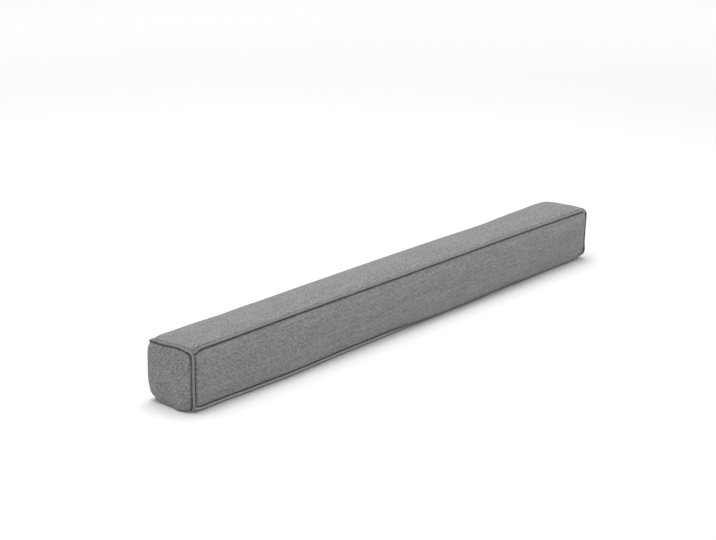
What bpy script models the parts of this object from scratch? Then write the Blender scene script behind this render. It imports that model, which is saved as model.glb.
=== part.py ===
"""Draught excluder: a long box-section door cushion in grey woven cloth.

The filled cushion is one closed body with crowned panels, drawn-in seams and soft corners.
Self-fabric piping lies in every seam: a loop round each end panel, and a run along each of the
four long edges. Metres, +Z up, origin in the middle of the underside, X along the length, and
the front at -Y.
"""
import math
from collections import namedtuple

import bpy
from mathutils import Vector
from mathutils.geometry import intersect_point_line

# Driving dimensions
LENGTH = 0.9035
DEPTH = 0.0845
HEIGHT = 0.084
HALF = Vector((LENGTH / 2, DEPTH / 2, HEIGHT / 2))

# Pieces lie this far apart; a run of piping stops a little shorter of the loop at its end
GAP = 0.0003
END_GAP = 0.0004

# Piping: its cloth-covered cord, how deep its middle lies in the edge, and how high over the
# surface underneath, which it clears by one gap
PIPING_RADIUS = 0.0017
PIPING_INSET = 0.0026
PIPING_LIFT = PIPING_RADIUS + GAP
BEND_STEPS = 6
# bevel steps that give the tube eight sides
TUBE_RESOLUTION = 2

# The cushion keeps this far from the middle of a piping: its radius, the gap, and room for the
# straight chords between the points of the seam rows
CHORD_ROOM = 0.0008
CLEARANCE = PIPING_RADIUS + GAP + CHORD_ROOM
# rows this near to two edges are tested against the piping, and moved off it in a few passes
NEAR_ROWS = 5
CLEARING_PASSES = 4

# Height of each panel's crown over its seams; the base panel is pressed flat
CROWN = {"top": 0.0040, "front": 0.0030, "back": 0.0030, "base": 0.0, "end": 0.0030}
CROWN_RISE = 0.024
# Past the long flat that it bears on, the base panel rises a little towards the end seams
END_SLOPE = 0.02

# Rows of the surface beside a seam: how far in from the edge, and how deep under the panel.
# The first row is the seam line itself, where two panels meet under the piping.
SeamRow = namedtuple("SeamRow", "inset depth")
SEAM_ROWS = (
    SeamRow(0.0046, 0.0046),
    SeamRow(0.0053, 0.0028),
    SeamRow(0.0058, 0.0012),
    SeamRow(0.0071, 0.0003),
    SeamRow(0.0105, 0.0),
    SeamRow(0.0150, 0.0),
)
# the top panel is drawn tight against its piping
TIGHT_ROWS = (
    SeamRow(0.0046, 0.0046),
    SeamRow(0.0047, 0.0027),
    SeamRow(0.0049, 0.0011),
    SeamRow(0.0062, 0.0002),
    SeamRow(0.0098, 0.0),
    SeamRow(0.0150, 0.0),
)
# More rows follow along the length, where the corners give way; the rest is evenly divided
END_INSETS = (0.0200, 0.0270, 0.0350, 0.0600)
LONG_STEPS = 20
CROSS_STEPS = 4
# the flat that the base bears on is straight, from the middle to here
BEARING = (HALF.x - END_INSETS[2], HALF.y - SEAM_ROWS[4].inset)
FLAT_ROOM = 0.0006

# Some panels roll over their edge, and the seam then lies this much further on, on the next panel
ROLL = 0.0044
ROLLED_ROWS = (
    SeamRow(0.0046, 0.0090),
    SeamRow(0.0047, 0.0060),
    SeamRow(0.0031, 0.0045),
    SeamRow(0.0011, 0.0038),
    SeamRow(0.0015, 0.0015),
    SeamRow(0.0046, 0.0003),
)
ROLLED_REACH = 0.026
# an end panel rolls over its back and bottom edges, and the top panel over its back edge
ROLLED_EDGES = {(0, 1, 1), (0, 2, -1), (2, 1, 1)}
# how far from a corner with an edge that isn't rolled the roll starts, and how soon it is complete
ROLL_START = 0.004
ROLL_GROWTH = 0.010
# where the roll goes round a corner, the middle of its bend is this far in
ROLLED_CENTRE = 0.0102
# the loop leaves the face of the end panel over this distance
LOOP_BAND = 0.012
LOOP_EASE = 0.008
# the band at a corner that runs in as one
JOIN_BAND = 0.0045
JOIN_REACH = 0.016

# a run of piping stops this much shorter where the loop at its end is rolled under
RUN_SHORT = {(-1, 1): 0.0, (-1, -1): 0.0006, (1, 1): ROLL, (1, -1): ROLL}

# The eight sewn corners: end -1 is the left one, side -1 the front, level -1 the base; how far each
# gives way, the bend of the loop of piping there, and how far the long seam runs in to meet it
Corner = namedtuple("Corner", "end side level dx dy dz bend join")
CORNERS = (
    Corner(-1, -1, +1, 0.0000, 0.0000, -0.0024, 0.0085, 0.0020),
    Corner(-1, +1, +1, -0.0004, -0.0003, 0.0003, 0.0050, 0.0009),
    Corner(-1, -1, -1, 0.0000, 0.0000, 0.0015, 0.0050, 0.0009),
    Corner(-1, +1, -1, 0.0010, -0.0010, 0.0028, 0.0076, 0.0020),
    Corner(+1, -1, +1, -0.0008, 0.0000, -0.0022, 0.0050, 0.0009),
    Corner(+1, +1, +1, 0.0000, -0.0010, 0.0000, 0.0050, 0.0009),
    Corner(+1, -1, -1, -0.0010, 0.0010, 0.0035, 0.0050, 0.0009),
    Corner(+1, +1, -1, -0.0005, -0.0010, 0.0015, 0.0076, 0.0020),
)
CORNER_AT = {(corner.end, corner.side, corner.level): corner for corner in CORNERS}
# A corner moves as one as far in as the piping and its seam rows reach, and past that the
# movement dies out over this distance along each axis
GIVE_BAND = 0.0060
GIVE_REACH = Vector((0.022, 0.022, 0.024))

# The front swells a little further than the back; this brings the middle back to the origin
CENTRING = 0.0009

# The long seams wander as sewn cloth does, by these offsets at stations along the length
Sway = namedtuple("Sway", "station top_front_z top_back_y top_back_z base_front_y")
SWAYS = (
    Sway(-0.452, 0.0000, -0.0010, -0.0030, 0.0000),
    Sway(-0.400, 0.0000, -0.0018, -0.0068, 0.0004),
    Sway(-0.340, 0.0003, -0.0020, -0.0074, -0.0004),
    Sway(-0.280, 0.0005, -0.0020, -0.0062, -0.0016),
    Sway(-0.130, 0.0003, -0.0025, -0.0054, 0.0015),
    Sway(-0.010, 0.0000, -0.0025, -0.0052, 0.0026),
    Sway(0.120, 0.0000, -0.0025, -0.0056, -0.0022),
    Sway(0.250, 0.0000, -0.0025, -0.0070, -0.0010),
    Sway(0.350, -0.0003, -0.0020, -0.0048, 0.0000),
    Sway(0.452, 0.0000, -0.0010, -0.0018, 0.0010),
)

CLOTH_COLOUR = (0.235, 0.235, 0.235, 1.0)
PIPING_COLOUR = (0.215, 0.215, 0.215, 1.0)
CLOTH_ROUGHNESS = 0.95


def clear_scene():
    """Start from an empty scene."""
    for old in list(bpy.data.objects):
        bpy.data.objects.remove(old, do_unlink=True)


def cloth(name, colour):
    """A matt woven cloth."""
    material = bpy.data.materials.new(name)
    material.use_nodes = True
    shader = material.node_tree.nodes["Principled BSDF"]
    shader.inputs["Base Color"].default_value = colour
    shader.inputs["Roughness"].default_value = CLOTH_ROUGHNESS
    shader.inputs["Metallic"].default_value = 0.0
    return material


def ease(share):
    """An S curve from nothing to one."""
    share = min(1.0, max(0.0, share))
    return share * share * (3.0 - 2.0 * share)


def fall(distance, reach, band=GIVE_BAND):
    """One inside the corner's band, nothing past the reach, and an S curve between them."""
    return 1.0 - ease((distance - band) / reach)


def sway_at(x):
    """Offsets of the long seams at a place along the length, eased between the stations."""
    for here, there in zip(SWAYS, SWAYS[1:]):
        if x <= there.station:
            break
    share = ease((x - here.station) / (there.station - here.station))
    return Sway(*(low + (high - low) * share for low, high in zip(here, there)))


def give(point):
    """Move a point of the straight box to where the soft corners and the swaying seams leave it."""
    moved = Vector(point)
    sway = sway_at(point[0])
    front = 0.5 - point[1] / DEPTH
    top = point[2] / HEIGHT
    moved.y += CENTRING
    moved.y += (1.0 - front) * top * sway.top_back_y
    if point[2] > FLAT_ROOM or abs(point[1]) > BEARING[1] + FLAT_ROOM:
        moved.y += front * (1.0 - top) * sway.base_front_y
    moved.z += front * top * sway.top_front_z + (1.0 - front) * top * sway.top_back_z
    for corner in CORNERS:
        tip = Vector((corner.end * HALF.x, corner.side * HALF.y, HALF.z + corner.level * HALF.z))
        weight = 1.0
        for axis in range(3):
            weight *= fall(abs(point[axis] - tip[axis]), GIVE_REACH[axis])
        moved += weight * Vector((corner.dx, corner.dy, corner.dz))
    return moved


def rise(edge_distance):
    """Share of the crown reached at a distance from the edge."""
    inward = min(1.0, max(0.0, edge_distance - SEAM_ROWS[0].inset) / CROWN_RISE)
    return 1.0 - (1.0 - inward) ** 2


def panel_name(axis, sign):
    """Name of the panel on one side of the box."""
    return ("end", "back" if sign > 0 else "front", "top" if sign > 0 else "base")[axis]


def roll_at(axis, other, side, place):
    """How far a panel is rolled over one of its edges at a place, from the middle of the box."""
    if (axis, other, side) not in ROLLED_EDGES or (axis == 2 and place[2] < 0):
        return 0.0
    if axis == 2:
        distance = HALF.x - abs(place[0])
    elif other == 1:
        distance = HALF.z - place[2]
    else:
        distance = HALF.y + place[1]
    return ease((distance - ROLL_START) / ROLL_GROWTH)


def rolled_row(row, inset):
    """Where a row of a panel lies that rolls over its edge."""
    if row < len(ROLLED_ROWS):
        return ROLLED_ROWS[row]
    shift = SEAM_ROWS[-1].inset - ROLLED_ROWS[-1].inset
    return SeamRow(inset - shift * (1.0 - ease((inset - SEAM_ROWS[-1].inset) / ROLLED_REACH)), 0.0)


def join_shift(place):
    """How far the corner of the box runs in at a place, to meet the bend of the piping."""
    weight = CORNER_AT[tuple(1 if place[axis] > 0 else -1 for axis in range(3))].join
    for axis in range(3):
        weight *= fall(HALF[axis] - abs(place[axis]), JOIN_REACH, JOIN_BAND)
    return weight


def panel_point(axis, sign, place, rows):
    """Where a panel's point of the plain grid lies, from the middle of the box."""
    point = Vector(place)
    across = [other for other in range(3) if other != axis]
    sides = {other: 1 if place[other] > 0 else -1 for other in across}
    rolls = {other: roll_at(axis, other, sides[other], place) for other in across}
    nearest = min(across, key=lambda other: rows[other])
    row = rows[nearest]
    plain_rows = TIGHT_ROWS if (axis, sign) == (2, 1) else SEAM_ROWS
    depth = plain_rows[row].depth if row < len(plain_rows) else 0.0
    if row < len(plain_rows):
        point[nearest] += sides[nearest] * (SEAM_ROWS[row].inset - plain_rows[row].inset)
    round_rows = len(ROLLED_ROWS)
    if all(rolls.values()) and max(rows[other] for other in across) < round_rows:
        # the corner that is rolled over on both sides is round
        far = max(rows[other] for other in across)
        angle = math.radians(45.0) * (round_rows - far) / (round_rows - row)
        radius = ROLLED_CENTRE - ROLLED_ROWS[row].inset
        for other in across:
            turn = math.cos(angle) if other == nearest else math.sin(angle)
            inset = ROLLED_CENTRE - radius * turn
            plain = abs(point[other])
            point[other] = sides[other] * (plain + (HALF[other] - inset - plain) * min(rolls.values()))
        depth += (ROLLED_ROWS[row].depth - depth) * min(rolls.values())
    else:
        for other in across:
            target = rolled_row(rows[other], HALF[other] - abs(place[other]))
            if other != nearest and rows[other] < round_rows:
                continue
            plain = abs(point[other])
            point[other] = sides[other] * (plain + (HALF[other] - target.inset - plain) * rolls[other])
        rolled_depth = rolled_row(row, HALF[nearest] - abs(place[nearest])).depth
        depth += (rolled_depth - depth) * rolls[nearest]
    crown = CROWN[panel_name(axis, sign)]
    for other in across:
        crown *= rise(HALF[other] - abs(point[other]) + ROLL * rolls[other])
    point[axis] = sign * (HALF[axis] + crown - depth)
    if (axis, sign) == (2, -1):
        point.z += END_SLOPE * max(0.0, abs(place[0]) - BEARING[0])
    # the panel that another one rolls onto is shorter by the roll
    for other in across:
        if other != 2 or place[2] > 0:
            roll = roll_at(other, axis, sign, place)
            point[other] -= sides[other] * ROLL * roll * shortening(rows[other])
    return point


def edge_point(place, rows):
    """Where a point of an edge of the box lies: in the seam, and rolled with it."""
    point = Vector(place)
    for axis in range(3):
        others = [other for other in range(3) if rows[other] == 0 and other != axis]
        roll = max(roll_at(axis, other, 1 if place[other] > 0 else -1, place) for other in others)
        point[axis] -= math.copysign(ROLL * roll * shortening(rows[axis]), place[axis])
    return point


def shortening(row):
    """Share of a roll that a row keeps of the panel that is shorter by it."""
    return max(0.0, 1.0 - (row / (len(ROLLED_ROWS) + 2)) ** 2)


def finish_point(point, axis):
    """A point from the middle of the box, taken in at the corner and moved where the cloth gives."""
    # an end panel goes round its rolled corner by itself
    shift = 0.0 if axis == 0 and point.y > 0 > point.z else join_shift(point)
    point = Vector(point)
    for axis in (1, 2):
        point[axis] -= math.copysign(shift, point[axis])
    point.z += HALF.z
    return give(point)


def piping_height(level):
    """Middle of a piping."""
    return PIPING_LIFT if level < 0 else HEIGHT - PIPING_INSET


def loop_route(end):
    """Points of the piping round an end panel: at each corner a bend, then the side after it."""
    low, high = piping_height(-1), piping_height(+1)
    wide = HALF.y - PIPING_INSET
    across = grid_lines(HALF.y, CROSS_STEPS)
    upward = [HALF.z + z for z in grid_lines(HALF.z, CROSS_STEPS)]
    bend = {(side, level): CORNER_AT[end, side, level].bend for side in (-1, 1) for level in (-1, 1)}
    turns = (
        (1, 1, [(y, high) for y in reversed(across) if bend[-1, 1] - wide < y < wide - bend[1, 1]]),
        (-1, 1, [(-wide, z) for z in reversed(upward) if low + bend[-1, -1] < z < high - bend[-1, 1]]),
        (-1, -1, [(y, low) for y in across if bend[-1, -1] - wide < y < wide - bend[1, -1]]),
        (1, -1, [(wide, z) for z in upward if low + bend[1, -1] < z < high - bend[1, 1]]),
    )
    route = []
    for number, (side, level, straight) in enumerate(turns):
        radius = bend[side, level]
        y = side * (wide - radius)
        z = high - radius if level > 0 else low + radius
        for step in range(BEND_STEPS + 1):
            angle = math.radians(90.0 * (number + step / BEND_STEPS))
            route.append((y + radius * math.cos(angle), z + radius * math.sin(angle)))
        route += straight
    return [loop_point(end, y, z) for y, z in route]


def loop_point(end, y, z):
    """A point of the loop, drawn in where the end panel rolls over its back and bottom edges."""
    place = (0.0, y, z - HALF.z)
    back = roll_at(0, 1, 1, place) * ease((y - HALF.y + LOOP_BAND) / LOOP_EASE)
    under = roll_at(0, 2, -1, place) * ease((LOOP_BAND - z) / LOOP_EASE)
    return give((end * (HALF.x - PIPING_INSET - ROLL * max(back, under)), y, z))


def run_route(side, level):
    """Points of the piping along a long edge, from one end loop to the other."""
    reach = HALF.x - PIPING_INSET - PIPING_RADIUS - END_GAP - RUN_SHORT[side, level]
    stations = [x for x in grid_lines(HALF.x, LONG_STEPS, END_INSETS) if abs(x) < reach - GAP]
    route = []
    for x in [-reach] + stations + [reach]:
        shift = join_shift((x, HALF.y * side, HALF.z * level))
        y = side * (HALF.y - PIPING_INSET - shift)
        z = piping_height(level) - level * shift
        if (side, level) == (1, 1):
            z -= ROLL * roll_at(2, 1, 1, (x, y, HALF.z))
        route.append(give((x, y, z)))
    return route


def grid_lines(half, steps, extra=()):
    """Positions of the grid across one axis, close together beside the seams."""
    insets = [row.inset for row in SEAM_ROWS] + list(extra)
    inner = half - insets[-1]
    lines = [-half + inset for inset in insets]
    lines += [inner * (2 * step / steps - 1) for step in range(1, steps)]
    lines += [half - inset for inset in reversed(insets)]
    return lines


def draw_back(point, routes):
    """Keep a point of the cushion clear of every piping."""
    for _ in range(CLEARING_PASSES):
        for route, closed in routes:
            pairs = zip(route, route[1:] + route[:1]) if closed else zip(route, route[1:])
            nearest = min(
                (near_point(point, here, there) for here, there in pairs),
                key=lambda near: (point - near).length,
            )
            away = point - nearest
            if away.length < CLEARANCE:
                point = nearest + away.normalized() * CLEARANCE
    return point


def near_point(point, here, there):
    """Closest point of a straight piece."""
    near, share = intersect_point_line(point, here, there)
    if share < 0.0:
        return here
    if share > 1.0:
        return there
    return near


def cushion_mesh(routes):
    """The filled body, as a grid wrapped over the six panels."""
    lines = (
        grid_lines(HALF.x, LONG_STEPS, END_INSETS),
        grid_lines(HALF.y, CROSS_STEPS),
        grid_lines(HALF.z, CROSS_STEPS),
    )
    last = [len(line) - 1 for line in lines]
    vertices, index = [], {}

    def corner_of(key):
        if key not in index:
            index[key] = len(vertices)
            vertices.append(cushion_point(key, lines, last, routes))
        return index[key]

    faces = []
    for axis in range(3):
        first, second = [other for other in range(3) if other != axis]
        for sign in (-1, 1):
            for i in range(last[first]):
                for j in range(last[second]):
                    ring = []
                    for di, dj in ((0, 0), (1, 0), (1, 1), (0, 1)):
                        key = [0, 0, 0]
                        key[axis] = 0 if sign < 0 else last[axis]
                        key[first] = i + di
                        key[second] = j + dj
                        ring.append(corner_of(tuple(key)))
                    # the Y pair winds the other way round, so that every face points out
                    outward = sign > 0 if axis != 1 else sign < 0
                    faces.append(ring if outward else ring[::-1])
    mesh = bpy.data.meshes.new("cushion")
    mesh.from_pydata(vertices, [], faces)
    mesh.validate()
    return mesh


def cushion_point(key, lines, last, routes):
    """Where one point of the grid ends up."""
    place = Vector((lines[0][key[0]], lines[1][key[1]], lines[2][key[2]]))
    rows = [min(number, end - number) for number, end in zip(key, last)]
    outer = [axis for axis in range(3) if rows[axis] == 0]
    if len(outer) == 1:
        axis = outer[0]
        point = finish_point(panel_point(axis, 1 if key[axis] else -1, place, rows), axis)
    else:
        point = finish_point(edge_point(place, rows), None)
    if sorted(rows)[1] < NEAR_ROWS:
        point = draw_back(point, routes)
    return point


def add_piping(name, route, closed, material):
    """One piping as a tube along its route."""
    curve = bpy.data.curves.new(name, "CURVE")
    curve.dimensions = "3D"
    curve.bevel_depth = PIPING_RADIUS
    curve.bevel_resolution = TUBE_RESOLUTION
    curve.use_fill_caps = not closed
    spline = curve.splines.new("POLY")
    spline.points.add(len(route) - 1)
    for target, point in zip(spline.points, route):
        target.co = (*point, 1.0)
    spline.use_cyclic_u = closed
    curve.materials.append(material)
    tube = bpy.data.objects.new(name, curve)
    bpy.context.scene.collection.objects.link(tube)
    return tube


def add_cushion(routes, material):
    """The filled cushion."""
    mesh = cushion_mesh(routes)
    mesh.materials.append(material)
    body = bpy.data.objects.new("cushion", mesh)
    bpy.context.scene.collection.objects.link(body)
    mesh.shade_smooth()
    return body


def build():
    """Make every piece."""
    clear_scene()
    routes = {
        "piping_left_end": (loop_route(-1), True),
        "piping_right_end": (loop_route(+1), True),
        "piping_top_front": (run_route(-1, +1), False),
        "piping_top_back": (run_route(+1, +1), False),
        "piping_bottom_front": (run_route(-1, -1), False),
        "piping_bottom_back": (run_route(+1, -1), False),
    }
    add_cushion(list(routes.values()), cloth("cushion_cloth", CLOTH_COLOUR))
    piping_cloth = cloth("piping_cloth", PIPING_COLOUR)
    for name, (route, closed) in routes.items():
        add_piping(name, route, closed, piping_cloth)


build()
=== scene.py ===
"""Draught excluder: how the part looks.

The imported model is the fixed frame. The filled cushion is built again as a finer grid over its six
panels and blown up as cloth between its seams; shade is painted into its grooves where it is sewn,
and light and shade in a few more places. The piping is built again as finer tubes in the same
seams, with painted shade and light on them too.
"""
import math
from collections import namedtuple

import bpy
import numpy as np
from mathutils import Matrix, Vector, noise


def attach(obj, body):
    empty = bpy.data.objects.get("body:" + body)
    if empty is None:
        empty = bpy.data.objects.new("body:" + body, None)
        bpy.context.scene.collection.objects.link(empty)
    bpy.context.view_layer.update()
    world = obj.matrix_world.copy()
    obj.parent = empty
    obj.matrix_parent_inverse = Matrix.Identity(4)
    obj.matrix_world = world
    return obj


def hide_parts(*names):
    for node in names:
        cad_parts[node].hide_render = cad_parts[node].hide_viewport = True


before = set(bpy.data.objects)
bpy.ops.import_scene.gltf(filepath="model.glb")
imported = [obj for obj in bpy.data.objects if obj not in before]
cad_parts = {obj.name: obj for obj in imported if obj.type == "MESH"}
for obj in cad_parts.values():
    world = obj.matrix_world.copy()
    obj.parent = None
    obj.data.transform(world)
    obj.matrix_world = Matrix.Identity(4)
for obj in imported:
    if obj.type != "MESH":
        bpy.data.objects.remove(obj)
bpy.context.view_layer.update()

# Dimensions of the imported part, in metres
LENGTH = 0.9035
DEPTH = 0.0845
HEIGHT = 0.084
HALF = Vector((LENGTH / 2, DEPTH / 2, HEIGHT / 2))
PIPING_RADIUS = 0.0017
PIPING_INSET = 0.0026
PIPING_LIFT = 0.0020
# The front swells a little further than the back; this brings the middle back to the origin
CENTRING = 0.0009

# The eight sewn corners: end -1 is the left one, side -1 the front, level -1 the base; how far each
# gives way, the bend of the loop of piping there, and how far the long seam runs in to meet it
Corner = namedtuple("Corner", "end side level dx dy dz bend join")
CORNERS = (
    Corner(-1, -1, +1, 0.0000, 0.0000, -0.0032, 0.0085, 0.0020),
    Corner(-1, +1, +1, 0.0000, -0.0008, 0.0015, 0.0086, 0.0010),
    Corner(-1, -1, -1, 0.0000, -0.0015, 0.0022, 0.0050, 0.0009),
    Corner(-1, +1, -1, 0.0018, -0.0018, 0.0050, 0.0076, 0.0020),
    Corner(+1, -1, +1, -0.0004, 0.0000, -0.0014, 0.0068, 0.0014),
    Corner(+1, +1, +1, 0.0000, -0.0010, -0.0006, 0.0050, 0.0009),
    Corner(+1, -1, -1, 0.0010, -0.0015, 0.0010, 0.0140, 0.0026),
    Corner(+1, +1, -1, -0.0005, -0.0010, 0.0015, 0.0076, 0.0020),
)
CORNER_AT = {(corner.end, corner.side, corner.level): corner for corner in CORNERS}
# A corner moves as one within the band, and past it the movement dies out over the reach
GIVE_BAND = Vector((0.003, 0.006, 0.006))
GIVE_REACH = Vector((0.014, 0.022, 0.024))
# The filling sags outward low in the left end
SAG_AT = Vector((-0.455, -0.021, 0.0))
SAG_REACH = Vector((0.034, 0.026, 0.026))
SAG = Vector((-0.0060, 0.0, 0.0))

# The long seams wander as sewn cloth does, by these offsets at stations along the length
Sway = namedtuple("Sway", "station top_front_z top_back_y top_back_z base_front_y")
SWAYS = (
    Sway(-0.452, 0.0000, -0.0010, -0.0030, 0.0015),
    Sway(-0.400, 0.0000, -0.0018, -0.0068, 0.0012),
    Sway(-0.340, 0.0003, -0.0020, -0.0074, -0.0012),
    Sway(-0.280, 0.0005, -0.0020, -0.0062, -0.0026),
    Sway(-0.130, 0.0003, -0.0025, -0.0054, 0.0015),
    Sway(-0.010, 0.0000, -0.0025, -0.0052, 0.0026),
    Sway(0.120, 0.0000, -0.0025, -0.0056, 0.0030),
    Sway(0.250, 0.0000, -0.0025, -0.0070, 0.0060),
    Sway(0.350, -0.0006, -0.0020, -0.0048, 0.0070),
    Sway(0.425, -0.0014, -0.0013, -0.0026, 0.0070),
    Sway(0.452, -0.0016, -0.0010, -0.0018, 0.0040),
)

# The cushion's grid: rows beside a seam, how far in from the edge and how deep under the panel,
# and the largest step between the rows of the two sides
SeamRow = namedtuple("SeamRow", "inset depth")
SEAM_ROWS = (
    SeamRow(0.0046, 0.0046),
    SeamRow(0.0053, 0.0028),
    SeamRow(0.0058, 0.0012),
    SeamRow(0.0071, 0.0003),
    SeamRow(0.0105, 0.0),
    SeamRow(0.0150, 0.0),
)
# the top panel is drawn tight against its piping
TIGHT_ROWS = (
    SeamRow(0.0046, 0.0046),
    SeamRow(0.0048, 0.0027),
    SeamRow(0.0043, 0.0011),
    SeamRow(0.0051, 0.0002),
    SeamRow(0.0088, 0.0),
    SeamRow(0.0150, 0.0),
)
PANEL_STEP = 0.0048

# Some panels roll over their edge, and the seam then lies this much further on, on the next panel
ROLL = 0.0044
ROLLED_ROWS = (
    SeamRow(0.0046, 0.0090),
    SeamRow(0.0047, 0.0060),
    SeamRow(0.0031, 0.0045),
    SeamRow(0.0011, 0.0038),
    SeamRow(0.0015, 0.0015),
    SeamRow(0.0046, 0.0003),
)
ROLLED_REACH = 0.026
# an end panel rolls over its back and bottom edges, and the top panel over its back edge: how far
# from a corner with an edge that isn't rolled the roll starts, and how soon it is complete. Towards
# the right the front panel rolls under too, from this place along the length
RollEdge = namedtuple("RollEdge", "start growth")
# the axis of the panel, the axis across its edge, and the side of the edge
END_BACK = (0, 1, 1)
END_UNDER = (0, 2, -1)
TOP_BACK = (2, 1, 1)
FRONT_UNDER = (1, 2, -1)
ROLLED_EDGES = {
    END_BACK: RollEdge(-0.003, 0.009),
    END_UNDER: RollEdge(0.001, 0.008),
    TOP_BACK: RollEdge(0.001, 0.008),
    FRONT_UNDER: RollEdge(-0.080, 0.130),
}
# The cushion rests on its belly: the seams stand this much off the floor, and the base bulges below
# them over its first rows. They don't where an end panel or the front panel rolls under: how near to
# that edge this is so, how it dies out, and how far up the panels it reaches
BELLY = 0.0018
BELLY_ROWS = (1.0, 0.6, 0.3, 0.1)
UNDER_BAND, UNDER_REACH = 0.010, 0.020
BELLY_REACH = 0.035
# where the roll goes round a corner, the middle of its bend is this far in
ROLLED_CENTRE = 0.0102
# the loop leaves the face of the end panel this far from its edge, and over this distance
LOOP_BAND = 0.012
LOOP_EASE = 0.008
# the band at a corner that runs in as one, and past it how this dies out: over this distance, or
# along the length over this many bends of the piping
JOIN_BAND = 0.0045
JOIN_REACH = 0.012
JOIN_RUN = 1.8

# Rows this near to a seam are kept this far from the middle of a piping, in a few passes over the
# stretches of piping that are near enough to matter
NEAR_ROWS = 5
CLEARANCE = PIPING_RADIUS + 0.0005
CLEARING_PASSES = 4
NEAR_PIPING = 0.012

# Crown of each panel, and the share of it that is there before the cloth is blown up
CROWN = {"top": 0.0040, "front": 0.0030, "back": 0.0030, "base": 0.0, "end": 0.0030}
CROWN_RISE = 0.024
START_SHARE = 0.70

# Cloth: frames, steps a frame, mass, pressure, the most that a point may move, the rows held by the
# seam, and how low a point lies that is held by the floor
CLOTH_FRAMES = 20
CLOTH_QUALITY = 5
CLOTH_MASS = 0.3
CLOTH_PRESSURE = 4.0
CLOTH_CAP = 0.005
HELD_ROWS = 3
HELD_HEIGHT = 0.0015
# a length that is nothing, which keeps a division from failing
NOTHING = 1e-9

# Piping tube: sides, steps in a bend, length of a step elsewhere, and how unevenly the cloth covers
# the cord: by how much, how soon it changes along the cord, and how much it differs round it
PIPING_SIDES = 12
BEND_STEPS = 8
PIPING_STEP = 0.0035
PIPING_UNEVEN = 0.00012
UNEVEN_PACE = 90.0
UNEVEN_ROUND = 0.6
# how far apart in the noise one piping lies from the next
UNEVEN_APART = 10.0
# a bend of the loop round an end panel: its middle, the angle at its start, and its radius
Bend = namedtuple("Bend", "y z start radius")

# Shade is painted into the grooves beside the piping: how much on each row of the cushion, and how
# much of that on each panel
GROOVE_SHADE = 0.70
GROOVE_ROWS = (1.0, 0.90, 0.45)
GROOVE_SHARE = {"top": 0.15, "front": 0.9, "back": 0.9, "base": 0.6, "end": 0.9}
# less shade is painted in the grooves over the bottom piping, which are open to the light: up to this
# height, short of the ends
LOW_SHARE = 0.25
LOW_HEIGHT, LOW_SHORT = 0.020, 0.009
# and in the grooves under the top of an end, which are open to the light too, over this height and
# back from its front edge
END_TOP_SHARE = 0.6
END_TOP_HEIGHT, END_TOP_SHORT, END_TOP_FRONT = 0.070, 0.006, -0.030
# shade is painted where the front panel rolls under, in front of this line, and a little light is
# painted above that, against the shade of the tuck
UNDER_ROWS = (1.0, 1.0, 1.0, 1.0, 0.55, -0.20, -0.12)
UNDER_LINE = -0.020
# light is painted under the top seam of the front and back panels, where their crown turns up to the
# light from above, from this height up
UPPER_LIGHT_FROM, UPPER_LIGHT_REACH, UPPER_PAINTED_LIGHT = 0.048, 0.026, -0.13
# light is painted on the front of the bottom front piping too, which faces the bright floor, and shade
# where the front panel rolls over it
BOTTOM_PIPING_PAINTED_LIGHT, BOTTOM_PIPING_PAINTED_SHADE = -1.20, 0.60
# shade is painted on the other pipings towards their seam, from this far past their side, and over this
# reach. The upright one at the front of the right end has shade painted nearly all round: how far right
# and how high it is
PIPING_DARK, PIPING_DARK_REACH = 0.1, 0.7
FAR_DARK = 0.7
FAR_RIGHT, FAR_LOW, FAR_HIGH = 0.44, 0.008, 0.076
# a piping this near to a face of the box lies in its seam
SEAM_REACH = 0.011

# Weave: pitch of its threads both ways, how much its crossings, flecks, the two sets of threads and
# its cloudiness differ in tone, and the painted shade between the threads, whose height is this on average
PITCH = (0.00237, 0.00167)
END_PITCH = (0.0016, 0.0016)
FINE_PITCH = (0.0011, 0.0011)
CROSSING_SHARE = 0.52
FLECK_SHARE = 0.44
PICK_SHARE = 0.10
CLOUD_SHARE = 0.12
WEAVE_SHADE = 0.45
WEAVE_HEIGHT = 0.72
# a thread's roundness across, and how high it stands on average and how far it dips
THREAD_ROUND = 0.6
THREAD_HEIGHT, THREAD_DIP = 0.62, 0.38
# how soon and how far the threads wander, and an offset that keeps their numbers above nothing
WANDER_SCALE, WANDER = 45.0, 0.8
THREAD_OFFSET = 1000.0
# flecks and streaks: their change from one thread to the next, and along a thread
FLECK_PACE = (3.71, 0.21)
STREAK_PACE = (2.37, 0.03)
# what keeps the noise of the two sets of threads apart
WARP_YARNS, WEFT_YARNS = 11.0, 47.0
CLOUD_SCALE = 38.0
# relief: the share of the flecks in it, and how much smoother the cloth is on top of a thread
FLECK_RELIEF = 0.6
ROUGHNESS, ROUGHNESS_DROP = 0.96, -0.06

# The cloths: tone beside the base tone, directions of the two sets of threads, a number that makes
# each different, contrast, pitch and strength of the streaks
CLOTH_TONE = 0.22
Cloth = namedtuple("Cloth", "name tone warp weft seed contrast pitch streaks")
PANEL_CLOTHS = (
    Cloth("cloth_on_ends", 1.00, (0, 0, 1), (0, 1, 0), 3.0, 1.5, END_PITCH, 0.15),
    Cloth("cloth_on_front_and_back", 1.00, (1, 0, 0), (0, 0, 1), 19.0, 1.0, PITCH, 0.58),
    # the top and base are the same cloth as the rest, toned a little darker as painted shade against the
    # light from above
    Cloth("cloth_on_top_and_base", 0.94, (1, 0, 0), (0, 1, 0), 31.0, 1.05, PITCH, 0.45),
)
# which of them each panel is cut from
CLOTH_SLOTS = {"end": 0, "front": 1, "back": 1, "top": 2, "base": 2}
BIAS_CLOTH = Cloth("cloth_on_piping", 1.00, (0.7, 0.5, 0.5), (0.7, -0.5, -0.5), 57.0, 0.8, FINE_PITCH, 0.3)

# The camera, in degrees and in millimetres of film
CAMERA_PLACE = (-1.9700, -1.5324, 0.8094)
CAMERA_DOWN, CAMERA_TURN = 16.38, -50.96
CAMERA_LENS, CAMERA_FILM = 91.9, 36.0

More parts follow.
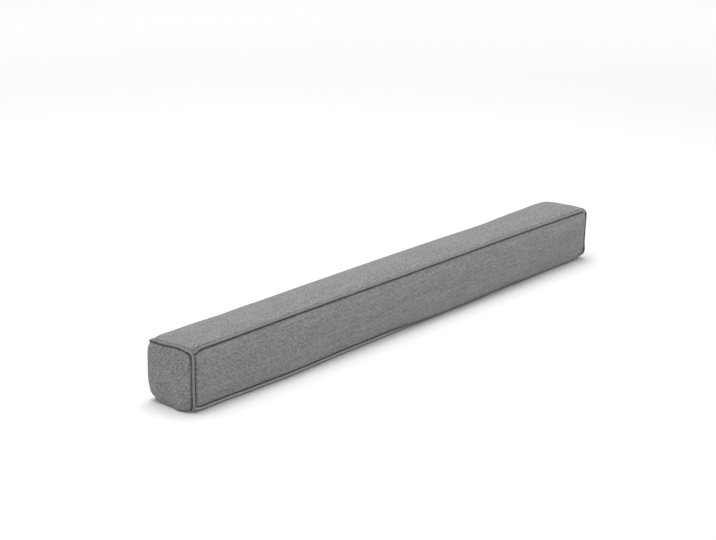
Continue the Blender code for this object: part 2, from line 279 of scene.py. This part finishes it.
# The studio: a pale world, soft oblong lights that all look at the origin, and a floor
WORLD_LIGHT = 0.54
Light = namedtuple("Light", "name power width depth place")
LIGHTS = (
    Light("overhead", 41.0, 2.4, 2.4, (0.12, 0.5, 2.4)),
    Light("key", 19.0, 2.2, 0.66, (0.0, 0.28, 2.4)),
    Light("fill", 6.5, 1.5, 1.5, (1.2, -2.5, 0.9)),
    Light("side", 5.0, 1.5, 1.5, (-2.6, -0.9, 1.0)),
)
FLOOR_REACH = 9.0
FLOOR_TONE = 0.86

# The lights are near, so the paper glows where they die away: from this far, how soon, how much
GLOW_FROM, GLOW_REACH, GLOW = 1.22, 2.1, 0.38


def ease(share):
    """An S curve from nothing to one."""
    share = min(1.0, max(0.0, share))
    return share * share * (3.0 - 2.0 * share)


def sign_of(value):
    """One for a value above nothing, and minus one for the rest."""
    return 1 if value > 0 else -1


def fall(distance, reach, band):
    """One inside the band, nothing once the reach past it is used up, and an S curve between them."""
    return 1.0 - ease((distance - band) / reach)


def sway_at(x):
    """Offsets of the long seams at a place along the length, eased between the stations."""
    for here, there in zip(SWAYS, SWAYS[1:]):
        if x <= there.station:
            break
    share = ease((x - here.station) / (there.station - here.station))
    return Sway(*(low + (high - low) * share for low, high in zip(here, there)))


def lift_at(place):
    """Share of the seams' height off the floor at a place, from the middle of the box."""
    end_under = roll_at(*END_UNDER, place) * fall(HALF.x - abs(place[0]), UNDER_REACH, UNDER_BAND)
    front_under = roll_at(*FRONT_UNDER, place) * fall(HALF.y + place[1], UNDER_REACH, UNDER_BAND)
    low = 1.0 - ease((place[2] + HALF.z) / BELLY_REACH)
    return 1.0 - max(end_under, front_under) * low


def nearness(point, centre, reaches, bands):
    """One within the bands round a centre, dying out over the reaches past them."""
    weight = 1.0
    for axis in range(3):
        weight *= fall(abs(point[axis] - centre[axis]), reaches[axis], bands[axis])
    return weight


def give(point, lift):
    """Move a point of the straight box to where the soft corners and the swaying seams leave it."""
    moved = Vector(point)
    sway = sway_at(point[0])
    front = 0.5 - point[1] / DEPTH
    top = point[2] / HEIGHT
    moved.y += CENTRING
    moved.y += (1.0 - front) * top * sway.top_back_y + front * (1.0 - top) * sway.base_front_y
    moved.z += front * top * sway.top_front_z + (1.0 - front) * top * sway.top_back_z + BELLY * lift
    for corner in CORNERS:
        tip = Vector((corner.end * HALF.x, corner.side * HALF.y, HALF.z + corner.level * HALF.z))
        rising = lift if (corner.side, corner.level) == (-1, -1) else 1.0
        away = Vector((corner.dx, corner.dy, corner.dz * rising))
        moved += nearness(point, tip, GIVE_REACH, GIVE_BAND) * away
    return moved + nearness(point, SAG_AT, SAG_REACH, (0.0, 0.0, 0.0)) * SAG


def even(start, stop, step):
    """Positions from start to stop, both included, no further apart than the step."""
    count = max(1, math.ceil(abs(stop - start) / step))
    return [start + (stop - start) * number / count for number in range(count + 1)]


def grid_lines(half):
    """Positions of the grid across one axis, close together beside the seams."""
    insets = [row.inset for row in SEAM_ROWS]
    inner = half - insets[-1]
    return (
        [-half + inset for inset in insets[:-1]]
        + even(-inner, inner, PANEL_STEP)
        + [half - inset for inset in reversed(insets[:-1])]
    )


def rise(edge_distance):
    """Share of the crown reached at a distance from the edge."""
    inward = min(1.0, max(0.0, edge_distance - SEAM_ROWS[0].inset) / CROWN_RISE)
    return 1.0 - (1.0 - inward) ** 2


def panel_name(axis, sign):
    """Name of the panel on one side of the box."""
    return ("end", "back" if sign > 0 else "front", "top" if sign > 0 else "base")[axis]


def roll_at(axis, other, side, place):
    """How far a panel is rolled over one of its edges at a place, from the middle of the box."""
    key = (axis, other, side)
    if key not in ROLLED_EDGES or (key == TOP_BACK and place[2] < 0):
        return 0.0
    if key == FRONT_UNDER:
        return 0.0 if place[1] > 0 else turned_under(place[0])
    distances = {
        TOP_BACK: HALF.x - abs(place[0]),
        END_BACK: HALF.z - place[2],
        END_UNDER: HALF.y + place[1],
    }
    return roll_share(ROLLED_EDGES[key], distances[key])


def roll_share(edge, distance):
    """Share of a roll at a distance along its edge."""
    return ease((distance - edge.start) / edge.growth)


def turned_under(x):
    """Share of the roll of the front panel under its bottom edge, at a place along the length."""
    return roll_share(ROLLED_EDGES[FRONT_UNDER], x)


def rolled_row(row, inset):
    """Where a row of a panel lies that rolls over its edge."""
    if row < len(ROLLED_ROWS):
        return ROLLED_ROWS[row]
    shift = SEAM_ROWS[-1].inset - ROLLED_ROWS[-1].inset
    return SeamRow(inset - shift * (1.0 - ease((inset - SEAM_ROWS[-1].inset) / ROLLED_REACH)), 0.0)


def join_shift(place):
    """How far the corner of the box runs in at a place, to meet the bend of the piping."""
    corner = CORNER_AT[tuple(sign_of(place[axis]) for axis in range(3))]
    weight = corner.join
    for axis in range(3):
        reach = JOIN_REACH if axis else max(JOIN_REACH, JOIN_RUN * corner.bend)
        weight *= fall(HALF[axis] - abs(place[axis]), reach, JOIN_BAND)
    return weight


def panel_point(axis, sign, place, rows):
    """Where a panel's point of the plain grid lies, from the middle of the box."""
    point = Vector(place)
    across = [other for other in range(3) if other != axis]
    sides = {other: sign_of(place[other]) for other in across}
    rolls = {other: roll_at(axis, other, sides[other], place) for other in across}
    nearest = min(across, key=lambda other: rows[other])
    row = rows[nearest]
    plain_rows = TIGHT_ROWS if (axis, sign) == (2, 1) else SEAM_ROWS
    depth = plain_rows[row].depth if row < len(plain_rows) else 0.0
    if row < len(plain_rows):
        point[nearest] += sides[nearest] * (SEAM_ROWS[row].inset - plain_rows[row].inset)
    round_rows = len(ROLLED_ROWS)
    if all(rolls.values()) and max(rows[other] for other in across) < round_rows:
        # the corner that is rolled over on both sides is round
        far = max(rows[other] for other in across)
        angle = math.radians(45.0) * (round_rows - far) / (round_rows - row)
        radius = ROLLED_CENTRE - ROLLED_ROWS[row].inset
        for other in across:
            turn = math.cos(angle) if other == nearest else math.sin(angle)
            inset = ROLLED_CENTRE - radius * turn
            plain = abs(point[other])
            point[other] = sides[other] * (plain + (HALF[other] - inset - plain) * min(rolls.values()))
        depth += (ROLLED_ROWS[row].depth - depth) * min(rolls.values())
    else:
        for other in across:
            target = rolled_row(rows[other], HALF[other] - abs(place[other]))
            if other != nearest and rows[other] < round_rows:
                continue
            plain = abs(point[other])
            point[other] = sides[other] * (plain + (HALF[other] - target.inset - plain) * rolls[other])
        rolled_depth = rolled_row(row, HALF[nearest] - abs(place[nearest])).depth
        depth += (rolled_depth - depth) * rolls[nearest]
    crown = CROWN[panel_name(axis, sign)] * START_SHARE
    for other in across:
        crown *= rise(HALF[other] - abs(point[other]) + ROLL * rolls[other])
    point[axis] = sign * (HALF[axis] + crown - depth)
    # the panel that another one rolls onto is shorter by the roll
    for other in across:
        if other != 2 or place[2] > 0:
            roll = roll_at(other, axis, sign, place)
            point[other] -= sides[other] * ROLL * roll * shortening(rows[other])
    return point


def edge_point(place, rows):
    """Where a point of an edge of the box lies: in the seam, and rolled with it."""
    point = Vector(place)
    for axis in range(3):
        others = [other for other in range(3) if rows[other] == 0 and other != axis]
        roll = max(roll_at(axis, other, sign_of(place[other]), place) for other in others)
        point[axis] -= math.copysign(ROLL * roll * shortening(rows[axis]), place[axis])
    return point


def shortening(row):
    """Share of a roll that a row keeps of the panel that is shorter by it."""
    return max(0.0, 1.0 - (row / (len(ROLLED_ROWS) + 2)) ** 2)


def finish_point(point, axis, row):
    """A point from the middle of the box, taken in at the corner and moved where the cloth gives."""
    lift = lift_at(point)
    if axis == 2 and point.z < 0:
        lift *= BELLY_ROWS[row] if row < len(BELLY_ROWS) else 0.0
    # an end panel goes round its rolled corner by itself
    shift = 0.0 if axis == 0 and point.y > 0 > point.z else join_shift(point)
    moved = Vector(point)
    for other in (1, 2):
        moved[other] -= math.copysign(shift, moved[other])
    moved.z += HALF.z
    return give(moved, lift)


def piping_height(level):
    """Middle of a piping."""
    return PIPING_LIFT if level < 0 else HEIGHT - PIPING_INSET


def on_bend(bend, turn):
    """Place on a bend, this many degrees past its start."""
    angle = math.radians(bend.start + turn)
    return bend.y + bend.radius * math.cos(angle), bend.z + bend.radius * math.sin(angle)


def loop_outline(end):
    """Outline of the piping round an end panel, seen along the length."""
    wide = HALF.y - PIPING_INSET
    bends = []
    for start, side, level in ((0.0, 1, 1), (90.0, -1, 1), (180.0, -1, -1), (270.0, 1, -1)):
        radius = CORNER_AT[end, side, level].bend
        bends.append(Bend(side * (wide - radius), piping_height(level) - level * radius, start, radius))
    outline = []
    for bend, following in zip(bends, bends[1:] + bends[:1]):
        outline += [on_bend(bend, 90.0 * step / BEND_STEPS) for step in range(BEND_STEPS + 1)]
        here, ahead = outline[-1], on_bend(following, 0.0)
        count = math.ceil(math.dist(here, ahead) / PIPING_STEP)
        outline += [
            (here[0] + (ahead[0] - here[0]) * n / count, here[1] + (ahead[1] - here[1]) * n / count)
            for n in range(1, count)
        ]
    return outline


def loop_route(end):
    """Points of the piping round an end panel."""
    route = []
    for y, z in loop_outline(end):
        place = (0.0, y, z - HALF.z)
        back = roll_at(*END_BACK, place) * ease((y - HALF.y + LOOP_BAND) / LOOP_EASE)
        under = roll_at(*END_UNDER, place) * ease((LOOP_BAND - z) / LOOP_EASE)
        x = end * (HALF.x - PIPING_INSET - ROLL * max(back, under))
        route.append(give((x, y, z), lift_at((x, y, z - HALF.z))))
    return route


def run_route(side, level):
    """Points of the piping along a long edge."""
    route = []
    ends = HALF.x - PIPING_INSET - PIPING_RADIUS
    # where the loop is rolled under the corner, the run is that much shorter
    if (side, level) == (1, -1):
        ends -= ROLL
    for x in even(-ends, ends, PIPING_STEP):
        y = side * (HALF.y - PIPING_INSET)
        z = piping_height(level) - HALF.z
        place = Vector((x, y, z))
        if (side, level) == (1, 1):
            place.z -= ROLL * roll_at(*TOP_BACK, (x, y, HALF.z))
        elif (side, level) == (-1, -1):
            place.y += ROLL * roll_at(*FRONT_UNDER, place)
        shift = join_shift((x, HALF.y * side, HALF.z * level))
        place.y -= side * shift
        place.z -= level * shift
        lift = lift_at(place)
        place.z += HALF.z
        route.append(give(place, lift))
    return route


def draw_back(points, routes):
    """Keep points of the cushion clear of every piping."""
    starts, stops = [], []
    for route, closed in routes:
        following = route[1:] + route[:1] if closed else route[1:]
        starts += [tuple(point) for point in route[: len(following)]]
        stops += [tuple(point) for point in following]
    starts, stops = np.array(starts), np.array(stops)
    along = stops - starts
    lengths = (along**2).sum(1)
    moved = points.copy()
    for number, point in enumerate(moved):
        near = np.abs(starts - point).max(1) < NEAR_PIPING
        if not near.any():
            continue
        first, way, length = starts[near], along[near], lengths[near]
        for _ in range(CLEARING_PASSES):
            share = np.clip(((point - first) * way).sum(1) / length, 0.0, 1.0)
            away = point - (first + way * share[:, None])
            gaps = np.sqrt((away**2).sum(1))
            closest = gaps.argmin()
            if gaps[closest] >= CLEARANCE:
                break
            point = point + away[closest] / gaps[closest] * (CLEARANCE - gaps[closest])
        moved[number] = point
    return moved


def cushion_grid(routes):
    """Points, faces, panels and seam rows of the filled body."""
    lines = [grid_lines(half) for half in HALF]
    last = [len(line) - 1 for line in lines]
    points, rows_of, index = [], [], {}

    def corner_of(key):
        if key not in index:
            index[key] = len(points)
            rows = [min(number, end - number) for number, end in zip(key, last)]
            place = Vector((lines[0][key[0]], lines[1][key[1]], lines[2][key[2]]))
            outer = [axis for axis in range(3) if rows[axis] == 0]
            # the row of a point is counted from the nearest edge of its panel
            seam_row = sorted(rows)[1]
            if len(outer) == 1:
                on_panel = panel_point(outer[0], sign_of(key[outer[0]]), place, rows)
                point = finish_point(on_panel, outer[0], seam_row)
            else:
                point = finish_point(edge_point(place, rows), None, seam_row)
            points.append(point)
            rows_of.append(seam_row)
        return index[key]

    faces, panels = [], []
    for axis in range(3):
        first, second = [other for other in range(3) if other != axis]
        for sign in (-1, 1):
            for i in range(last[first]):
                for j in range(last[second]):
                    ring = []
                    for di, dj in ((0, 0), (1, 0), (1, 1), (0, 1)):
                        key = [0, 0, 0]
                        key[axis] = 0 if sign < 0 else last[axis]
                        key[first] = i + di
                        key[second] = j + dj
                        ring.append(corner_of(tuple(key)))
                    outward = sign > 0 if axis != 1 else sign < 0
                    faces.append(ring if outward else ring[::-1])
                    panels.append(panel_name(axis, sign))
    points = np.array(points)
    rows_of = np.array(rows_of)
    near = rows_of < NEAR_ROWS
    points[near] = draw_back(points[near], routes)
    return points, faces, panels, rows_of


def blow_up(body, rows_of, base):
    """Run the cushion as cloth held at its seams and on its base, and keep where it ends."""
    start = np.array([vertex.co for vertex in body.data.vertices])
    held = body.vertex_groups.new(name="held")
    held.add([int(n) for n in np.flatnonzero((rows_of < HELD_ROWS) | base)], 1.0, "REPLACE")
    modifier = body.modifiers.new("Cloth", "CLOTH")
    settings = modifier.settings
    settings.quality = CLOTH_QUALITY
    settings.mass = CLOTH_MASS
    settings.use_pressure = True
    settings.uniform_pressure_force = CLOTH_PRESSURE
    settings.vertex_group_mass = held.name
    settings.effector_weights.gravity = 0.0
    modifier.collision_settings.use_collision = False
    modifier.collision_settings.use_self_collision = False
    modifier.point_cache.frame_start = 1
    modifier.point_cache.frame_end = CLOTH_FRAMES
    scene = bpy.context.scene
    for number in range(1, CLOTH_FRAMES + 1):
        scene.frame_set(number)
    blown = body.evaluated_get(bpy.context.evaluated_depsgraph_get())
    moves = np.array([vertex.co for vertex in blown.data.vertices]) - start
    far = np.sqrt((moves**2).sum(1))
    moves *= (np.minimum(far, CLOTH_CAP) / np.maximum(far, NOTHING))[:, None]
    body.modifiers.remove(modifier)
    body.vertex_groups.remove(held)
    scene.frame_set(1)
    body.data.vertices.foreach_set("co", (start + moves).ravel())
    body.data.update()


def cushion_shades(points, faces, panels, rows_of):
    """Painted shade in the grooves and under the roll, painted light over the roll and under the top seam.
    """
    shades = np.zeros(len(points))
    for ring, panel in zip(faces, panels):
        for corner in ring:
            row = rows_of[corner]
            if row < len(GROOVE_ROWS):
                shades[corner] = GROOVE_ROWS[row] * (GROOVE_SHARE[panel] if row else 1.0)
            elif panel in ("front", "back"):
                # painted light under the top seam
                shades[corner] = UPPER_PAINTED_LIGHT * ease((points[corner][2] - UPPER_LIGHT_FROM) / UPPER_LIGHT_REACH)
    from_middle, across, up = np.abs(points[:, 0]), points[:, 1], points[:, 2]
    low = (up < LOW_HEIGHT) & (from_middle < HALF.x - LOW_SHORT)
    shades[low] *= LOW_SHARE
    under = low & (across < UNDER_LINE) & (rows_of < len(UNDER_ROWS))
    # painted shade under the roll of the front panel, painted light a little above it
    for number in np.flatnonzero(under):
        shades[number] += (UNDER_ROWS[rows_of[number]] - shades[number]) * turned_under(points[number][0])
    on_end = from_middle > HALF.x - END_TOP_SHORT
    shades[on_end & (up > END_TOP_HEIGHT) & (across > END_TOP_FRONT)] *= END_TOP_SHARE
    return shades


def add_object(name, data):
    """A new object in the scene."""
    added = bpy.data.objects.new(name, data)
    bpy.context.scene.collection.objects.link(added)
    return added


def shaded_piece(name, mesh_name, vertices, faces, materials, shades):
    """A smooth piece with its materials, and painted shade, or light where negative, at each of its
    points.
    """
    mesh = bpy.data.meshes.new(mesh_name)
    mesh.from_pydata(vertices, [], faces)
    for material in materials:
        mesh.materials.append(material)
    mesh.attributes.new("shade", "FLOAT", "POINT").data.foreach_set("value", shades)
    mesh.shade_smooth()
    return add_object(name, mesh)


def add_cushion(routes, materials):
    """The filled cushion, as its own piece."""
    points, faces, panels, rows_of = cushion_grid(routes)
    vertices = [tuple(point) for point in points]
    shades = cushion_shades(points, faces, panels, rows_of)
    body = shaded_piece("cushion_cover", "cushion_cloth_body", vertices, faces, materials, shades)
    body.data.polygons.foreach_set("material_index", [CLOTH_SLOTS[panel] for panel in panels])
    base = points[:, 2] < HELD_HEIGHT
    blow_up(body, rows_of, base)
    body.modifiers.new("Finer", "SUBSURF").render_levels = 1
    body.modifiers["Finer"].levels = 1
    return body


def piping_shade(under_front, out, point):
    """Painted shade on one side of a piping, or painted light on the front of the bottom one."""
    if under_front:
        turned = turned_under(point.x)
        # painted light on the front of the bottom front piping, painted shade where the front panel rolls
        # over it
        return BOTTOM_PIPING_PAINTED_LIGHT * max(0.0, -out.y) * (1.0 - turned) + BOTTOM_PIPING_PAINTED_SHADE * turned
    far_front = point.x > FAR_RIGHT and point.y < 0.0 and FAR_LOW < point.z < FAR_HIGH
    # painted shade towards the seam, nearly all round on the upright piping at the front of the right end
    start = FAR_DARK if far_front else PIPING_DARK
    return ease((out.dot(inward_at(point)) + start) / PIPING_DARK_REACH)


def add_piping(name, route, closed, material, seed):
    """One piping as a slightly uneven tube along its route."""
    under_front = name.startswith("piping_bottom_front")
    shades = []
    count = len(route)
    vertices, faces = [], []
    side_hint = Vector((0.0, 0.0, 1.0))
    for number, point in enumerate(route):
        before = route[number - 1] if closed or number else route[0]
        after = route[(number + 1) % count] if closed or number < count - 1 else route[-1]
        ahead = (after - before).normalized()
        if number == 0:
            side_hint = ahead.orthogonal()
        across = (side_hint - ahead * side_hint.dot(ahead)).normalized()
        side_hint = across
        up = ahead.cross(across)
        for side in range(PIPING_SIDES):
            angle = 2 * math.pi * side / PIPING_SIDES
            out = across * math.cos(angle) + up * math.sin(angle)
            place = point * UNEVEN_PACE + out * UNEVEN_ROUND + Vector((seed, 0.0, 0.0))
            radius = PIPING_RADIUS + PIPING_UNEVEN * noise.noise(place)
            vertices.append(point + out * radius)
            shades.append(piping_shade(under_front, out, point))
    rings = count if closed else count - 1
    for ring in range(rings):
        for side in range(PIPING_SIDES):
            here = ring * PIPING_SIDES
            there = (ring + 1) % count * PIPING_SIDES
            beside = (side + 1) % PIPING_SIDES
            faces.append((here + side, here + beside, there + beside, there + side))
    if not closed:
        faces.append(list(range(PIPING_SIDES)))
        faces.append(list(range((count - 1) * PIPING_SIDES, count * PIPING_SIDES))[::-1])
    return shaded_piece(name, name, vertices, faces, [material], shades)


def inward_at(point):
    """Direction from a piping into the seam that it lies in: away from the nearest edge of the box."""
    height = point.z - BELLY
    gaps = [HALF.x - abs(point.x), HALF.y - abs(point.y), min(height, HEIGHT - height)]
    sides = [math.copysign(1.0, point.x), math.copysign(1.0, point.y), math.copysign(1.0, height - HALF.z)]
    return Vector([-side if gap < SEAM_REACH else 0.0 for gap, side in zip(gaps, sides)]).normalized()


class Nodes:
    """A short way to write a material's nodes."""

    def __init__(self, material):
        self.tree = material.node_tree
        self.tree.nodes.clear()

    def add(self, kind, **values):
        """A node with some of its properties set."""
        node = self.tree.nodes.new(kind)
        for key, value in values.items():
            setattr(node, key, value)
        return node

    def put(self, socket, value):
        """Link a socket, or set its value."""
        if isinstance(value, bpy.types.NodeSocket):
            self.tree.links.new(value, socket)
        else:
            socket.default_value = value

    def math(self, operation, *values):
        """One sum."""
        node = self.add("ShaderNodeMath", operation=operation)
        for socket, value in zip(node.inputs, values):
            self.put(socket, value)
        return node.outputs[0]

    def vector(self, x, y, z=0.0):
        """A vector from three numbers."""
        node = self.add("ShaderNodeCombineXYZ")
        for socket, value in zip(node.inputs, (x, y, z)):
            self.put(socket, value)
        return node.outputs[0]

    def noise(self, vector, scale, detail=2.0, roughness=0.5):
        """Smooth noise, about 0.5 on average."""
        node = self.add("ShaderNodeTexNoise")
        self.put(node.inputs["Vector"], vector)
        node.inputs["Scale"].default_value = scale
        node.inputs["Detail"].default_value = detail
        node.inputs["Roughness"].default_value = roughness
        return node.outputs["Fac"]

    def chance(self, vector):
        """A fixed random number for each vector."""
        node = self.add("ShaderNodeTexWhiteNoise", noise_dimensions="3D")
        self.put(node.inputs["Vector"], vector)
        return node.outputs["Value"]

    def surface(self, values):
        """The shader and the output. values go by the names of the shader's sockets."""
        shader = self.add("ShaderNodeBsdfPrincipled")
        for name, value in values.items():
            self.put(shader.inputs[name], value)
        output = self.add("ShaderNodeOutputMaterial")
        self.put(output.inputs["Surface"], shader.outputs["BSDF"])


def woven(cloth):
    """A matt melange cloth in basket weave."""
    material = bpy.data.materials.new(cloth.name)
    material.use_nodes = True
    nodes = Nodes(material)
    place = nodes.add("ShaderNodeTexCoord").outputs["Object"]

    def along(direction):
        node = nodes.add("ShaderNodeVectorMath", operation="DOT_PRODUCT")
        nodes.put(node.inputs[0], place)
        node.inputs[1].default_value = direction
        return node.outputs["Value"]

    # threads wander a little
    wander = nodes.noise(place, WANDER_SCALE)

    def counted(direction, pitch, wandering):
        threads = nodes.math("DIVIDE", along(direction), pitch)
        threads = nodes.math("ADD", threads, nodes.math("MULTIPLY", wander, wandering))
        return nodes.math("ADD", threads, THREAD_OFFSET + cloth.seed)

    u = counted(cloth.warp, cloth.pitch[0], WANDER)
    v = counted(cloth.weft, cloth.pitch[1], -WANDER)
    row, column = nodes.math("FLOOR", v), nodes.math("FLOOR", u)

    def pair(number):
        return nodes.math("FLOOR", nodes.math("MULTIPLY", number, 0.5))

    def thread(across, crossing, run):
        rounded = nodes.math("ABSOLUTE", nodes.math("SINE", nodes.math("MULTIPLY", across, math.pi)))
        rounded = nodes.math("POWER", rounded, THREAD_ROUND)
        turn = nodes.math("MULTIPLY", nodes.math("MULTIPLY_ADD", run, 0.5, crossing), math.pi)
        dipping = nodes.math("MULTIPLY_ADD", nodes.math("SINE", turn), THREAD_DIP, THREAD_HEIGHT)
        return nodes.math("MULTIPLY", rounded, dipping)

    over = thread(v, pair(row), u)
    under = thread(u, nodes.math("ADD", pair(column), 1.0), v)
    height = nodes.math("MAXIMUM", over, under)
    picks = nodes.math("GREATER_THAN", over, under)

    def stretched(number, run, pace, offset):
        return nodes.vector(
            nodes.math("MULTIPLY", number, pace[0]), nodes.math("MULTIPLY", run, pace[1]), offset
        )

    def yarn(number, run, offset):
        crossing = nodes.chance(nodes.vector(number, offset, nodes.math("FLOOR", run)))
        flecks = nodes.noise(stretched(number, run, FLECK_PACE, offset), 1.0, detail=3.0, roughness=0.7)
        flecks = nodes.math("MULTIPLY", flecks, FLECK_SHARE)
        return nodes.math("ADD", nodes.math("MULTIPLY", crossing, CROSSING_SHARE), flecks)

    mix = nodes.add("ShaderNodeMix", data_type="FLOAT")
    nodes.put(mix.inputs[0], picks)
    nodes.put(mix.inputs[2], yarn(column, v, WARP_YARNS + cloth.seed))
    nodes.put(mix.inputs[3], yarn(row, u, WEFT_YARNS + cloth.seed))
    melange = nodes.math("SUBTRACT", mix.outputs[0], (CROSSING_SHARE + FLECK_SHARE) / 2)
    streak = nodes.noise(stretched(row, u, STREAK_PACE, cloth.seed), 1.0, detail=1.0)
    cloud = nodes.noise(place, CLOUD_SCALE, detail=3.0, roughness=0.6)
    unevenness = melange
    for part, share in ((streak, cloth.streaks), (picks, PICK_SHARE), (cloud, CLOUD_SHARE)):
        unevenness = nodes.math("ADD", unevenness, nodes.math("MULTIPLY_ADD", part, share, -share / 2))
    level = nodes.math("MULTIPLY_ADD", unevenness, cloth.contrast, 1.0)
    # painted shade between the threads, deepest where they are lowest
    between = nodes.math("MULTIPLY_ADD", height, WEAVE_SHADE, 1.0 - WEAVE_SHADE * WEAVE_HEIGHT)
    level = nodes.math("MULTIPLY", level, between)
    # the shade attribute paints shade into the base colour, and light where it is below nothing
    shade = nodes.add("ShaderNodeAttribute", attribute_name="shade").outputs["Fac"]
    level = nodes.math("MULTIPLY", level, nodes.math("MULTIPLY_ADD", shade, -GROOVE_SHADE, 1.0))
    level = nodes.math("MULTIPLY", level, cloth.tone * CLOTH_TONE)

    bump = nodes.add("ShaderNodeBump")
    bump.inputs["Strength"].default_value = 0.5
    bump.inputs["Distance"].default_value = 0.0004
    relief = nodes.math("ADD", height, nodes.math("MULTIPLY", melange, FLECK_RELIEF))
    nodes.put(bump.inputs["Height"], relief)
    nodes.surface({
        "Base Color": nodes.vector(level, level, level),
        "Roughness": nodes.math("MULTIPLY_ADD", height, ROUGHNESS_DROP, ROUGHNESS),
        "Normal": bump.outputs["Normal"],
        "Specular IOR Level": 0.2,
        "Sheen Weight": 0.15,
        "Sheen Roughness": 0.6,
    })
    return material


def add_camera():
    """The camera, at the photograph's place and angle."""
    data = bpy.data.cameras.new("camera")
    data.sensor_width = CAMERA_FILM
    data.lens = CAMERA_LENS
    camera = add_object("camera", data)
    camera.location = CAMERA_PLACE
    camera.rotation_euler = (math.radians(90.0 - CAMERA_DOWN), 0.0, math.radians(CAMERA_TURN))
    bpy.context.scene.camera = camera


def add_light(light):
    """A soft oblong light that looks at the origin."""
    data = bpy.data.lights.new(light.name, "AREA")
    data.energy = light.power
    data.shape = "RECTANGLE"
    data.size, data.size_y = light.width, light.depth
    lamp = add_object(light.name, data)
    lamp.location = light.place
    lamp.rotation_euler = (-Vector(light.place)).to_track_quat("-Z", "Y").to_euler()


def floor_paper():
    """Off-white paper, as pale far away as it is under the lights."""
    paper = bpy.data.materials.new("floor_paper")
    paper.use_nodes = True
    nodes = Nodes(paper)
    length = nodes.add("ShaderNodeVectorMath", operation="LENGTH")
    nodes.put(length.inputs[0], nodes.add("ShaderNodeTexCoord").outputs["Object"])
    glow = nodes.add("ShaderNodeMapRange", interpolation_type="SMOOTHSTEP")
    ends = (length.outputs["Value"], GLOW_FROM, GLOW_FROM + GLOW_REACH, 0.0, GLOW)
    for socket, value in zip(glow.inputs, ends):
        nodes.put(socket, value)
    nodes.surface({
        "Base Color": (FLOOR_TONE, FLOOR_TONE, FLOOR_TONE, 1.0),
        "Roughness": 0.9,
        "Specular IOR Level": 0.1,
        "Emission Color": (1.0, 1.0, 1.0, 1.0),
        "Emission Strength": glow.outputs["Result"],
    })
    return paper


def add_studio():
    """A pale world, soft lights and a pale floor."""
    scene = bpy.context.scene
    world = bpy.data.worlds.new("studio")
    world.use_nodes = True
    sky = world.node_tree.nodes["Background"]
    sky.inputs["Color"].default_value = (1.0, 1.0, 1.0, 1.0)
    sky.inputs["Strength"].default_value = WORLD_LIGHT
    scene.world = world
    for light in LIGHTS:
        add_light(light)

    mesh = bpy.data.meshes.new("floor")
    corners = [(x * FLOOR_REACH, y * FLOOR_REACH, 0) for x, y in ((-1, -1), (1, -1), (1, 1), (-1, 1))]
    mesh.from_pydata(corners, [], [(0, 1, 2, 3)])
    mesh.materials.append(floor_paper())
    floor = add_object("floor", mesh)
    scene.view_settings.view_transform = "Standard"


def main():
    """Make every piece."""
    add_camera()
    add_studio()
    routes = {
        "piping_left_end": (loop_route(-1), True),
        "piping_right_end": (loop_route(+1), True),
        "piping_top_front": (run_route(-1, +1), False),
        "piping_top_back": (run_route(+1, +1), False),
        "piping_bottom_front": (run_route(-1, -1), False),
        "piping_bottom_back": (run_route(+1, -1), False),
    }
    cushion = add_cushion(list(routes.values()), [woven(cloth) for cloth in PANEL_CLOTHS])
    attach(cushion, "root")
    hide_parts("cushion")
    bias = woven(BIAS_CLOTH)
    for number, (name, (route, closed)) in enumerate(routes.items()):
        tube = add_piping(name + "_cord", route, closed, bias, UNEVEN_APART * number)
        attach(tube, "root")
        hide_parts(name)


main()
